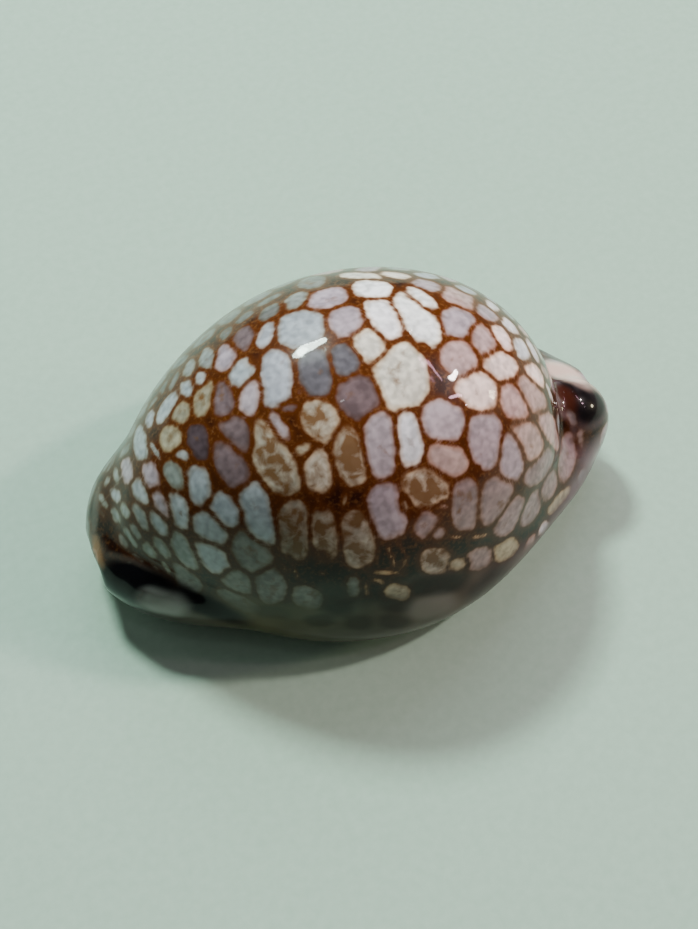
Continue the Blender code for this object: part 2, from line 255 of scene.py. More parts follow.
def outer_rings(bearing):
    """Points over the back, evenly spaced along every rib down to the margin's foot."""
    eye = np.array((0, 0, EYE_Z))
    steep = np.linspace(90, TURN_VIEW, STEEP_STEPS, endpoint=False)
    flat = np.linspace(TURN_VIEW, LOWEST_VIEW, FLAT_STEPS)
    side, view = np.meshgrid(bearing, np.radians(np.concatenate([steep, flat])), indexing="ij")
    rays = np.stack([np.cos(view) * np.cos(side), np.cos(view) * np.sin(side), np.sin(view)], -1)
    reach = outermost(eye, rays)
    skin = eye + rays * reach[..., None]
    stop = skin[..., 2] < base_height(skin[..., 0], skin[..., 1]) + MARGIN_FOOT
    inward = reach[:, :-1] - reach[:, 1:] > STEP_JUMP
    low = view < math.radians(JUMP_VIEW)
    stop[:, 1:] |= inward & low[:, 1:]
    widest = np.maximum.accumulate(np.where(low, reach, 0), axis=1)
    stop |= low & (reach < widest - FALL_BACK)
    last = np.argmax(stop, axis=1)
    rings = np.empty((len(bearing), OUTER_RINGS, 3))
    for rib, end in enumerate(last):
        path = skin[rib, :end]
        run = np.concatenate([[0], np.cumsum(np.linalg.norm(np.diff(path, axis=0), axis=1))])
        marks = np.linspace(0, run[-1], OUTER_RINGS + 1)[1:]
        for axis in range(3):
            rings[rib, :, axis] = np.interp(marks, run, path[:, axis])
    return skin[:, 0].mean(0), rings


def slot_ring(turn, wider):
    """Points round the slot, or round a wider ring about it."""
    u = (np.cos(turn) + SLOT_EVENNESS * np.cos(3 * turn)) / (1 + SLOT_EVENNESS)
    x = (SLOT_HALF_LENGTH + wider) * u
    half = SLOT_HALF_WIDTH - SLOT_WIDENING * u + wider
    y = slot_y(x) + np.sign(np.sin(turn)) * half * np.sqrt(np.maximum(1 - u**SLOT_END_ROUND, 0))
    return np.stack([x, y], -1)


def base_rings(foot, rim, groove, turn):
    """Points under the base, from the margin's foot to the lip, with the teeth's grooves."""
    share = np.arange(1, BASE_RINGS + 1) / BASE_RINGS
    plan = foot[:, None] + (rim - foot)[:, None] * share[None, :, None]
    within = np.full(plan.shape[:2], BASE_SEARCH_HIGH)
    found = np.zeros(within.shape, bool)

    def at_height(z):
        return outside(np.concatenate([plan, z[..., None]], -1))

    for level in np.arange(BASE_SEARCH_LOW, BASE_SEARCH_HIGH, BASE_STRIDE):
        new = (at_height(np.full(within.shape, level)) < 0) & ~found
        within[new] = level
        found |= new
    height = np.maximum(close_in(at_height, within, within - BASE_STRIDE), 0)
    run = np.where(np.sin(turn) > 0, OUTER_TOOTH_RUN, INNER_TOOTH_RUN)
    from_rim = np.linalg.norm(plan - rim[:, None], axis=-1)
    cut = groove[:, None] * ease(1 - from_rim / run[:, None])
    return np.concatenate([plan, (height + cut)[..., None]], -1), height[:, -1]


def lip_rings(rim, edge, rim_height, groove):
    """Points round the rolled lip, from the base up into the slot."""
    inward = edge - rim
    inward_unit = inward / np.linalg.norm(inward, axis=1, keepdims=True)
    rings = []
    for angle in np.linspace(0, math.pi / 2, LIP_RINGS + 1)[1:]:
        plan = rim + inward * math.sin(angle) - inward_unit * (groove * math.sin(angle))[:, None]
        z = rim_height + LIP_ROUND * (1 - math.cos(angle)) + groove * math.cos(angle)
        rings.append(np.concatenate([plan, z[:, None]], -1))
    return np.stack(rings, 1)


def inside(p):
    """Signed distance, roughly, to the hollow: below zero in it."""
    return soft_max(dome(p) + WALL, FLOOR_Z - p[..., 2], FLOOR_BLEND)


def between(start, end, share):
    """Direction part of the way from one unit direction to another."""
    angle = np.arccos(np.clip((start * end).sum(-1, keepdims=True), -1, 1))
    return (np.sin((1 - share) * angle) * start + np.sin(share * angle) * end) / np.sin(angle)


def inner_rings(edge, bearing):
    """Points inside, over the hollow's floor and up its wall, and its top."""
    middle = np.array(CAVITY_MID)
    flat = np.zeros(len(bearing))
    down = np.stack([edge[:, 0], edge[:, 1], flat + FLOOR_Z], -1) - middle
    down /= np.linalg.norm(down, axis=1, keepdims=True)
    out = np.stack([np.cos(bearing), np.sin(bearing), flat], -1)
    up = np.stack([flat, flat, flat + 1], -1)
    looks = [between(down, out, share) for share in np.linspace(0, 1, FLOOR_RINGS + 1)]
    looks += [between(out, up, share) for share in np.linspace(0, 1, INNER_RINGS + 1)[1:]]
    rays = np.stack(looks, 1)
    none = np.zeros(rays.shape[:-1])
    reach = close_in(lambda t: inside(middle + rays * t[..., None]), none, none + CAVITY_REACH)
    points = middle + rays * reach[..., None]
    return points[:, :-1], points[0, -1]


def shell_points():
    """The outer top, one point for every rib and ring, and the inner top."""
    turn = np.arange(RIBS) * 2 * math.pi / RIBS
    bearing = turn - 0.5 * RIB_CROWDING * np.sin(2 * turn)
    bearing += math.radians(BACK_BEARING) * (1 + np.cos(turn)) / 2
    bearing += math.radians(FRONT_BEARING) * (1 - np.cos(turn)) / 2
    top, outer = outer_rings(bearing)
    rim = slot_ring(turn, LIP_ROUND)
    edge = slot_ring(turn, 0.0)
    valley = (0.5 - 0.5 * np.cos(2 * math.pi * rim[:, 0] / TOOTH_PITCH)) ** TOOTH_SHARPNESS
    groove = GROOVE_DEPTH * valley * ease((TEETH_END - np.abs(rim[:, 0])) / TEETH_FADE)
    base, rim_height = base_rings(outer[:, -1, :2], rim, groove, turn)
    lip = lip_rings(rim, edge, rim_height, groove)
    inner, inner_top = inner_rings(edge, bearing)
    return top, np.concatenate([outer, base, lip, inner], 1), inner_top


# Cells of the net that the photograph shows, read in its pixels. Rows are the middle,
# half length, half width and lean of the long axis in degrees, clockwise from level
CELLS = {
    "moon_white": (
        (411, 441, 28.5, 13, 84), (510, 326, 11.5, 5.5, 45), (521, 349, 13, 7, 60),
        (533, 350, 13.5, 4, 62), (558, 399, 12.5, 3.5, 62), (549, 391, 11, 3, 70),
    ),
    "pearl": (
        (384, 317, 22, 14, 60), (418, 316, 29, 15, 50), (422, 299, 18, 7.5, 38),
        (373, 289, 18, 8.5, 5),
    ),
    "petal": (
        (501, 364, 18.5, 14, 40), (480, 390, 21, 17, 45), (503, 338, 16.5, 6.5, 55),
        (536, 375, 14, 7.5, 52),
    ),
    # Grey cells low on the near side and along the upper left edge, darkened as painted shade
    "smoke": (
        (250, 552, 22.5, 15.5, 46), (237, 582, 15.5, 10, 30), (239, 601, 20, 6.5, 28),
        (270, 586, 16, 13.5, 60), (307, 598, 14, 9, 20), (354, 587, 9, 6.5, 90),
        (186, 577, 17, 6.5, 42), (139, 559.5, 9, 2.8, 38), (133, 565, 7, 2.2, 24),
        (154, 566.5, 8, 2.8, 42), (101.7, 512, 5, 2.2, 62), (118, 447, 9.5, 3, 112),
        (163.5, 387.5, 7.5, 3.6, -62), (174, 381.5, 10.5, 3.6, -62), (152.5, 403.5, 9, 3, -55),
        (227, 332, 9, 4, -48), (243, 318, 12, 3.6, -36), (268, 300, 12, 3.6, -28),
        (270, 312, 12, 5.5, -35),
    ),
    # Rose cells low on the right side, darkened as painted shade
    "dusk": (
        (466, 505, 23.5, 13.5, 88), (496, 502, 22.5, 14, -68), (427, 523, 14, 10, -60),
        (439, 533, 7.5, 6, -45), (481, 558, 14.5, 9, -25), (510, 517, 20.5, 9.5, -55),
        (532, 507, 18, 8.8, -62), (549, 486, 15.5, 9, -62), (542, 467, 19, 10, -58),
        (571, 416, 12.5, 5.2, 65), (580, 438, 10.3, 5, 95), (567, 457, 24, 7.8, 100),
    ),
    "plum": (
        (198, 443, 17.5, 10.8, 82),
    ),
    "cream": (
        (370, 345, 19, 15.5, 45), (362, 275, 19, 5, 2), (395, 275, 14.5, 4.5, 8),
        (400, 375, 31, 24, 80),
    ),
    "blue_grey": (
        (139.5, 442, 16.5, 6.8, 84), (155, 451, 9.5, 3.8, 62), (182, 455, 9, 7, 20),
        (116, 495, 8.5, 5.4, 80), (139, 491, 14.5, 7.4, 68), (179, 510, 19, 9.8, 77),
        (158.5, 524, 15.5, 7.2, 58), (213, 557, 20, 12, 45), (211, 530, 21, 13.5, 48),
        (240, 373, 15, 11.5, -50), (200.5, 378.5, 8.8, 6.2, -75), (186.5, 389.5, 9.3, 7.2, -80),
        (167.5, 406, 17, 5.6, -58), (149.5, 418, 9, 5, -75), (275, 380, 28, 15.5, 88),
        (301, 327, 23, 16, -15), (266, 334, 13, 7.5, -62), (197, 486, 21, 12.5, 68),
        (224, 511, 20.5, 13, 50), (257, 516, 31, 14.5, 74),
    ),
    "lilac": (
        (127, 471, 12.8, 6.2, 80), (150, 476, 15, 7.8, 76), (160, 503, 17, 7, 66),
        (225, 358, 14, 10, -65), (250, 397, 19, 11, -72), (279, 426, 17.5, 8, 60),
        (345, 322, 17.5, 14.5, -15), (326, 298, 19, 8.5, -12), (427, 285, 15, 6, 15),
        (486, 312, 14.5, 6.5, 35), (458, 322, 17.5, 15, 30), (380, 443, 32, 15.5, 86),
        (442, 422, 21, 18.5, 20), (512, 457, 22.5, 12.5, 88), (388, 511, 25, 17, 84),
        (487, 440, 26, 16, 85),
    ),
    "rose": (
        (460, 298, 19, 8.5, 25), (461, 357, 19.5, 15.5, 50), (484, 341, 18.5, 11.5, 56),
        (447, 461, 20, 16, 25), (515, 402, 20, 12.5, 62), (533, 395, 22, 10.5, 62),
        (551, 429, 20, 10, 68), (530, 441, 20.5, 12.5, 66), (443, 507, 6.5, 4.5, 0),
    ),
    "olive_cream": (
        (171, 439, 13, 10, 95), (203, 397, 18, 9.5, -66), (181.5, 411.5, 12.3, 8.3, -60),
        (559, 500, 15, 4.6, -52), (458, 564, 11, 6, -15), (504, 550, 14, 8.5, -32),
        (397, 592, 11, 7, 10),
    ),
    # Grey cells at the lower left end: partly their own grey, partly painted shade
    "sage_grey": (
        (176, 476, 16.5, 10, 62), (116, 476, 8.8, 3.8, 85), (107.5, 481, 6.8, 2.7, 112),
        (103, 501, 9.3, 3.3, 66), (98.7, 488, 3.8, 1.6, 100), (115.5, 514.5, 9.3, 4, 68),
        (125, 511, 9.8, 4.4, 70), (140, 516, 15, 7, 64), (135.5, 531.5, 10.3, 4.7, 60),
        (130.3, 537.5, 12, 3.8, 56), (124.5, 541.5, 8.8, 3.2, 56), (150, 550.5, 10.8, 5, 49),
        (161.5, 548, 13, 6.2, 52), (183, 551, 20.5, 8.8, 57), (206.5, 359.5, 10.8, 7.4, -68),
        (189, 368, 10, 4.8, -60), (297, 300, 13, 6.5, -28), (166, 567, 8.3, 3.3, 52),
    ),
    "mauve": (
        (243, 339, 12.5, 8.5, -50), (359, 397, 21.5, 20.5, 45), (289, 408, 10, 6, -5),
        (299, 393, 5.5, 4.5, 60), (331, 337, 4, 3, 0), (238, 434, 20.5, 14.5, 62),
        (231, 464, 23.5, 14, 64), (222.5, 398.5, 18, 10.8, 82),
    ),
    "slate": (
        (316, 374, 23.5, 16.5, 86), (345, 359, 17, 14.5, 60),
    ),
    "clouded": (
        (272, 457, 36, 18, 62), (322, 420, 23, 17, 55), (348, 452, 29, 14.5, 72),
        (317, 470, 20.5, 13.5, 88), (303, 449, 10, 7, -15), (427, 487, 23, 19.5, 30),
    ),
    "murky": (
        (294, 531, 26, 15, 86), (324, 535, 22.5, 13, 80), (358, 541, 24, 15, 84),
        (437, 562, 14, 11, 0), (405, 505, 8, 5, 70),
    ),
}
# Pale flecks in the brown between the cells, laid down the same way
FLECKS = (
    (213, 432, 4.5, 2.5, 50), (219, 484, 3, 2, 0), (276, 501, 4.5, 2.5, -40),
    (231, 559, 3.5, 2, 50), (284, 568, 6, 2.5, 48), (294, 569, 10, 2.2, 62), (288, 559, 4, 2, 45),
    (322, 573, 3.5, 2.2, 10), (323, 557, 6, 2.5, -40), (316, 552, 4, 2, 10),
    (345, 500, 7, 3.5, -75), (319, 501, 8, 2.4, 62), (457, 537, 6.5, 2.4, -10),
    (480, 536, 9, 2.8, -12), (468, 543, 4.5, 1.8, 80), (392, 558, 11, 2.4, 74),
    (388, 573, 13, 3.2, 0), (403, 565, 6.5, 2.4, -58), (378, 581, 7, 3, 22), (402, 549, 7, 2, 58),
    (368, 572, 4, 2.5, 40), (424, 347, 5, 2.5, 30), (476, 471, 3, 2.2, 90),
    (443, 303, 5, 1.8, 45), (253, 361, 3, 2.2, 0), (217, 375, 2, 2, 0), (496, 540, 3, 1.8, 40),
    (366, 589, 6, 3.5, 80),
)
# Some tints are darkened as painted shade: the grey and rose cells low on the sides, and partly
# the sage grey
CELL_TINTS = {
    "pearl": "#FDFAFF", "petal": "#FFE2DE", "moon_white": "#E2DEE8", "cream": "#E3D8CE",
    "blue_grey": "#A8ABB3", "lilac": "#AD9CA5", "rose": "#BC9F9D", "olive_cream": "#A39783",
    "sage_grey": "#8D8F8D", "mauve": "#725F63", "slate": "#645F67", "clouded": "#BDB09F",
    "fleck": "#A38B72", "smoke": "#73706D", "dusk": "#8E7A7C", "plum": "#4E3F44",
    "murky": "#A5968A",
}
# Stains in the callus of the margin and the beaks, with the share of them that shows. The black
# ones low on the near margin and on the front inner beak are partly dark blotches, partly painted
# shade
STAINS = (
    ("ink", 1.0, (118, 583, 21, 13, 35)), ("ink", 1.0, (140, 578, 34, 10, 24)),
    ("ink", 1.0, (205, 606, 36, 9, 22)), ("milk", 0.7, (163, 604, 20, 9, 12)),
    ("apricot", 0.5, (97, 550, 14, 3.5, 80)), ("milk", 0.3, (95, 512, 20, 3, 95)),
    ("ink", 0.95, (592, 404, 17, 15, 60)), ("ink", 0.85, (577, 398, 22, 11, 45)),
    ("ink", 0.9, (562, 378, 20, 5, 38)),
    ("ink", 0.8, (560, 357, 22, 4, 25)), ("blush", 0.9, (566, 373, 22, 8, 26)),
    ("chestnut", 0.9, (563, 398, 14, 8, 58)), ("ink", 0.75, (437, 584, 25, 9, -8)),
    ("ink", 0.6, (396, 603, 14, 8, 0)), ("ink", 0.7, (335, 600, 16, 12, 10)),
    ("ink", 0.45, (319, 621, 12, 5, 0)), ("ink", 0.4, (359, 623, 12, 6, 0)),
    ("ink", 0.65, (490, 585, 22, 10, -38)), ("ink", 0.5, (395, 622, 14, 6, 0)),
    ("milk", 0.22, (432, 607, 20, 9, -15)), ("ink", 0.4, (272, 612, 16, 5, 10)),
)
STAIN_TINTS = {
    "ink": "#08070A", "milk": "#A5A3A0", "apricot": "#C08A55", "blush": "#E3C0B4",
    "chestnut": "#3A160C",
}
# How far each cell strays from its kind's tint, in brightness and in hue
BRIGHTNESS_STRAY, HUE_STRAY = (0.9, 1.08), (0.98, 1.02)
# How clouded a kind of cell is, and what share of the hidden cells is of each kind
CLOUDING = {
    "clouded": 1.0, "murky": 1.0, "olive_cream": 0.5, "fleck": 0.4, "smoke": 0.35, "dusk": 0.25,
    "mauve": 0.2, "cream": 0.2, "plum": 0.2,
}
HIDDEN_KINDS = {
    "moon_white": 0.12, "blue_grey": 0.24, "lilac": 0.24, "rose": 0.16, "sage_grey": 0.1,
    "mauve": 0.08, "clouded": 0.06,
}
# Hidden cells just past the photograph's upper left edge take the same painted shade as the ones
# it shows there
DIM_KIND, DIM_EDGE_X, DIM_EDGE_FACING = "smoke", 4.0, -0.12
# Hidden cells' widths in millimetres: on the middle of the back, at its ends, low on the sides,
# and how soon one passes into the other
MIDDLE_CELL, END_CELL, SIDE_CELL, END_RUN, SIDE_RUN = 3.7, 1.9, 2.5, 1.15, 1.6
# They are sown on points that the photograph shows at a slant or not at all, and spread out
SEEN_EDGE, MOST_VEIL, SOWN_POINTS, SPREADING_ROUNDS = 0.33, 0.95, 9000, 4
PAINT_SEED, SOWING_SEED, LEAN_SEED = 7, 11, 23
# Their lean in radians, their stretch, their half width as a share of their room, and the
# slope under which none of them has a level direction
HIDDEN_LEAN, HIDDEN_STRETCH, FULLNESS, LEVEL_TOP = 0.6, (1.0, 1.3), 0.56, 0.2
# A drawn cell is laid this much fuller. Where the skin slants it is stretched at most this
# much, and no flatter sight of it counts
FULLER, MOST_STRETCH, LEAST_SLANT = 1.23, 2.0, -0.12
# Cells are ovals with blunt corners, parted by lines of the brown ground
CELL_POWER, LINE_HALF_WIDTH, CORNER_SHARPNESS, EDGE_RANGE = 2.5, 0.17, 6.0, (-3, 8)
# Cells tried at each point, and points worked out at once
NEIGHBOURS, FIELD_STEP = 9, 5000
# Spots round each point where the net is read and averaged, so that its lines stay even
EVENING_SPOTS = (
    (0.12, 0.12, 0.12), (0.12, -0.12, -0.12), (-0.12, 0.12, -0.12), (-0.12, -0.12, 0.12),
)
WOBBLE, WOBBLE_LENGTH = 0.16, 1.6
# Depth of the brown ground: from thin orange on the back to nearly black low on the sides, and
# half as deep on the far side. The near side's extra depth is painted shade
DEEP_TOP, DEEP_FADE, FAR_SIDE_DEPTH, SHADED_NEAR_SIDE = 25.0, 13.0, 0.5, ((-92.0, 48.0, 1.0),)
# Height where the callus begins to veil the net. Rows are bearing, spread, extra height
VEIL_HEIGHT, VEIL_DEPTH, VEIL_WAVER, VEIL_WAVER_LENGTH = 10.6, 4.2, 1.2, 3.0
VEIL_RISE = (
    (-98.0, 26.0, 3.6), (-52.0, 22.0, -1.2), (180.0, 24.0, -0.9), (0.0, 26.0, -0.6),
    (90.0, 50.0, 1.4), (-140.0, 14.0, 0.6),
)
# Callus below the net, round the margin: bearing, spread, tint. The near side's tints, from
# -160 to -62 degrees, are darker than the far side's partly as painted shade
CALLUS_AND_SHADE_TINTS = (
    (180.0, 18.0, "#8B8878"), (-160.0, 13.0, "#56575A"), (-140.0, 13.0, "#554D45"),
    (-120.0, 13.0, "#57503A"), (-101.0, 12.0, "#4B4A40"), (-82.0, 13.0, "#54493F"),
    (-62.0, 14.0, "#503A3C"), (-38.0, 16.0, "#6F5F68"), (-10.0, 16.0, "#A08F98"),
    (25.0, 24.0, "#806A66"), (70.0, 28.0, "#7C6654"), (120.0, 28.0, "#74615A"),
)
CALLUS_MOTTLE, BASE_MOTTLE, MOTTLE_LENGTH, LEAST_SHARE = 0.25, 0.1, 2.6, 0.001
BASE_TINT, TOOTH_TINT, INNER_TINT = "#CDB9A3", "#8C4A20", "#B3A3B4"
BASE_TOP, BASE_FADE, TOOTH_STAIN_RUN, TOOTH_STAIN = 2.6, 2.8, 4.6, 0.85
# Blurred marginal blotches where the photograph can't see: bearing, height, half length, width
HIDDEN_BLOTCHES = (
    (15.0, 7.0, 2.8, 1.6), (36.0, 8.6, 1.7, 1.2), (49.0, 6.4, 2.6, 1.4), (62.0, 8.8, 1.5, 1.1),
    (78.0, 6.8, 3.2, 1.7), (93.0, 9.0, 1.6, 1.2), (103.0, 6.2, 1.8, 1.2), (121.0, 7.6, 2.8, 1.5),
    (141.0, 6.0, 1.9, 1.3), (158.0, 7.6, 2.4, 1.2),
)
BLOTCH_SHARE, BLOTCH_START, STAIN_SOFTNESS = 0.75, 1.3, 0.75


def wobbled(points):
    """The points, each pushed aside a little, so that the lines of the net waver."""
    moved = np.array([noise.noise_vector(Vector(p / WOBBLE_LENGTH)) for p in points])
    return points + WOBBLE * moved


def view_axes():
    """The photograph's camera in the form's millimetres: place, and right, up and back."""
    azimuth = math.radians(CAMERA_AZIMUTH)
    elevation = math.radians(CAMERA_ELEVATION)
    back = Vector((
        math.sin(azimuth) * math.cos(elevation),
        -math.cos(azimuth) * math.cos(elevation),
        math.sin(elevation),
    ))
    right = Vector((math.cos(azimuth), math.sin(azimuth), 0.0))
    return Vector(CAMERA_AIM) + back * CAMERA_AWAY, right, back.cross(right), back


def sight(x, y):
    """Where the camera stands, and the direction in which it sees a pixel."""
    stand, right, up, back = view_axes()
    across = (x - PHOTO_WIDTH / 2) / FOCAL_PIXELS
    down = (y - PHOTO_HEIGHT / 2) / FOCAL_PIXELS
    return stand, (right * across - up * down - back).normalized()


def seen_at(skin, x, y):
    """The point of the skin seen at a pixel, and its normal. Past the outline, the nearest one."""
    for step in range(PULL_STEPS):
        share = 1 - step * PULL_SHARE
        stand, look = sight(PHOTO_MIDDLE[0] + (x - PHOTO_MIDDLE[0]) * share,
                            PHOTO_MIDDLE[1] + (y - PHOTO_MIDDLE[1]) * share)
        place, normal, _, _ = skin.ray_cast(stand, look)
        if place is not None:
            return place, normal
    raise ValueError("no part of the shell is seen near this pixel")


def patch(skin, row):
    """A drawn ellipse laid on the skin: its middle, two half axes and the skin's normal."""
    x, y, half_length, half_width, lean = row
    place, normal = seen_at(skin, x, y)
    if normal.dot(sight(x, y)[1]) > 0:
        normal = -normal
    lean = math.radians(lean)
    halves = []
    for reach, turn in ((half_length * FULLER, lean), (half_width * FULLER, lean + math.pi / 2)):
        ends = []
        for side in (-1, 1):
            out = side * reach
            stand, look = sight(x + out * math.cos(turn), y + out * math.sin(turn))
            slope = min(look.dot(normal), LEAST_SLANT)
            ends.append(stand + look * ((place - stand).dot(normal) / slope))
        half = (ends[1] - ends[0]) / 2
        half -= normal * half.dot(normal)
        most = MOST_STRETCH * reach * CAMERA_AWAY / FOCAL_PIXELS
        if half.length > most:
            half *= most / half.length
        halves.append(half)
    return place, halves[0], halves[1], normal


def cell_width(p):
    """Width of a hidden cell: broad on the middle of the back, small at its edges."""
    along = np.abs(p[:, 0] - DOME_MID_X) / MARGIN_HALF_LENGTH
    low = np.clip((p[:, 2] - MARGIN_Z) / (DOME_RISE + WIDEST_Z - MARGIN_Z), 0, 1)
    middle = MIDDLE_CELL + (END_CELL - MIDDLE_CELL) * ease(along * END_RUN)
    return SIDE_CELL + (middle - SIDE_CELL) * ease(low * SIDE_RUN)


def hidden_middles(points, seen, seen_size):
    """Middles of the cells that the photograph doesn't show, spread until they are even."""
    draw = np.random.default_rng(SOWING_SEED)
    width = cell_width(points)
    middles = list(seen)
    widths = list(seen_size * 2)
    for index in draw.permutation(len(points)):
        p = points[index]
        gap = np.linalg.norm(np.array(middles) - p, axis=1)
        if (gap > (np.array(widths) + width[index]) / 2).all():
            middles.append(p)
            widths.append(width[index])
    middles = np.array(middles)
    for _ in range(SPREADING_ROUNDS):
        home = np.argmin(((points[:, None] - middles[None]) ** 2).sum(-1), axis=1)
        for cell in range(len(seen), len(middles)):
            mine = points[home == cell]
            if len(mine):
                middles[cell] = (middles[cell] + mine.mean(0)) / 2
    return middles[len(seen):]


def lie_on(skin, middles, widths):
    """Cells of a given width on the skin, a little longer one way than the other."""
    draw = np.random.default_rng(LEAN_SEED)
    rows = []
    for middle, width in zip(middles, widths):
        place, normal, _, _ = skin.find_nearest(Vector(middle))
        level = Vector((0, 0, 1)).cross(normal)
        level = level.normalized() if level.length > LEVEL_TOP else Vector((1, 0, 0))
        turn = draw.uniform(-HIDDEN_LEAN, HIDDEN_LEAN)
        steep = normal.cross(level)
        long_way = steep * math.cos(turn) + level * math.sin(turn)
        wide_way = normal.cross(long_way)
        stretch = draw.uniform(*HIDDEN_STRETCH)
        half = width * FULLNESS
        rows.append((place, long_way * half * stretch, wide_way * half / stretch, normal))
    return rows


def as_arrays(rows):
    """Patches as arrays: middles, and the three rows that measure a point in half axes."""
    middles = np.array([row[0] for row in rows])
    measures = []
    for _, long_half, wide_half, normal in rows:
        long_half = np.array(long_half)
        wide_half = np.array(wide_half)
        across = np.linalg.pinv(np.stack([long_half, wide_half], 1))
        deep = np.array(normal) / max(np.linalg.norm(long_half), np.linalg.norm(wide_half))
        measures.append(np.vstack([across, deep]))
    return middles, np.array(measures)


def how_far_out(points, middles, measures):
    """For points paired with patches: 1 on the patch's edge, and how fast that grows."""
    local = np.einsum("...ij,...j->...i", measures, points - middles)
    size = np.abs(local) + TINY
    out = (size**CELL_POWER).sum(-1) ** (1 / CELL_POWER)
    pull = np.sign(local) * (size / out[..., None]) ** (CELL_POWER - 1)
    growth = np.linalg.norm(np.einsum("...i,...ij->...j", pull, measures), axis=-1)
    return out, growth


def net(points, middles, measures):
    """For each point: distance in from its cell's edge, less than 0 in a line, and the cell."""
    gap = np.empty(len(points))
    cell = np.empty(len(points), int)
    size = 1 / np.linalg.norm(measures, axis=2).mean(1)
    for start in range(0, len(points), FIELD_STEP):
        part = points[start : start + FIELD_STEP]
        row = np.arange(len(part))
        away = np.linalg.norm(part[:, None] - middles[None], axis=-1) - size
        near = np.argpartition(away, NEIGHBOURS, axis=1)[:, :NEIGHBOURS]
        out, growth = how_far_out(part[:, None], middles[near], measures[near])
        first = np.argmin(out, axis=1)
        own = out[row, first]
        own_growth = growth[row, first]
        edges = (out - own[:, None]) / (growth + own_growth[:, None]) - LINE_HALF_WIDTH
        edges[row, first] = (1 - own) / own_growth
        pull = np.exp(-CORNER_SHARPNESS * np.clip(edges, *EDGE_RANGE))
        gap[start : start + FIELD_STEP] = -np.log(pull.sum(1)) / CORNER_SHARPNESS
        cell[start : start + FIELD_STEP] = near[row, first]
    return gap, cell


def colour(code):
    """An sRGB hex colour as linear red, green, blue and alpha."""
    parts = [int(code[i : i + 2], 16) / 255 for i in (1, 3, 5)]
    light = [c / 12.92 if c <= 0.04045 else ((c + 0.055) / 1.055) ** 2.4 for c in parts]
    return (*light, 1.0)


def grain_scale(size):
    """Scale of a noise whose grains are of a size in millimetres."""
    return 1 / (size * MM)


def add(tree, kind, inputs=(), **settings):
    """Adds a node. Settings are its own; inputs give a socket a value or a link."""
    made = tree.nodes.new("ShaderNode" + kind)
    for name, value in settings.items():
        setattr(made, name, value)
    for name, value in dict(inputs).items():
        if isinstance(value, bpy.types.NodeSocket):
            tree.links.new(value, made.inputs[name])
        else:
            made.inputs[name].default_value = value
    return made


def plain_material(name):
    """A new material, its node tree and its shader."""
    made = bpy.data.materials.new(name)
    made.use_nodes = True
    return made, made.node_tree, made.node_tree.nodes["Principled BSDF"]


# Browns high on the back and low on the sides: a thin line, where the ground pools, its specks,
# and the heart of a clouded cell
BROWNS = (
    ("#5A2C0C", "#30160A"), ("#30140A", "#0C0604"), ("#80502A", "#38220F"), ("#6F4B2A", "#4E341E"),
)
HALO_TINT = "#D2AF88"
# Grains of the enamel's patterns in millimetres: marbling, streaks, blots, specks and ripples
MARBLE, STREAK, BLOT, SPECK, RIPPLE, RIPPLE_DEPTH = 1/0.34, 1/1.4, 1/0.62, 1/2.3, 1/0.26, 0.2
# A satin body, which keeps the colours deep, under a hard clear glaze, which gives sharp glints
ENAMEL_SURFACE = {
    "Roughness": 0.3, "IOR": 1.53, "Specular IOR Level": 0.05,
    "Coat Weight": 0.7, "Coat IOR": 1.31, "Coat Roughness": 0.04,
}
# The table's lacquer: its two tints, its grain in millimetres, and its dull finish
LACQUER_TINTS, LACQUER_GRAIN, LACQUER_ROUGHNESS = ("#98B5A2", "#A9C4B2"), 1/0.9, 0.7


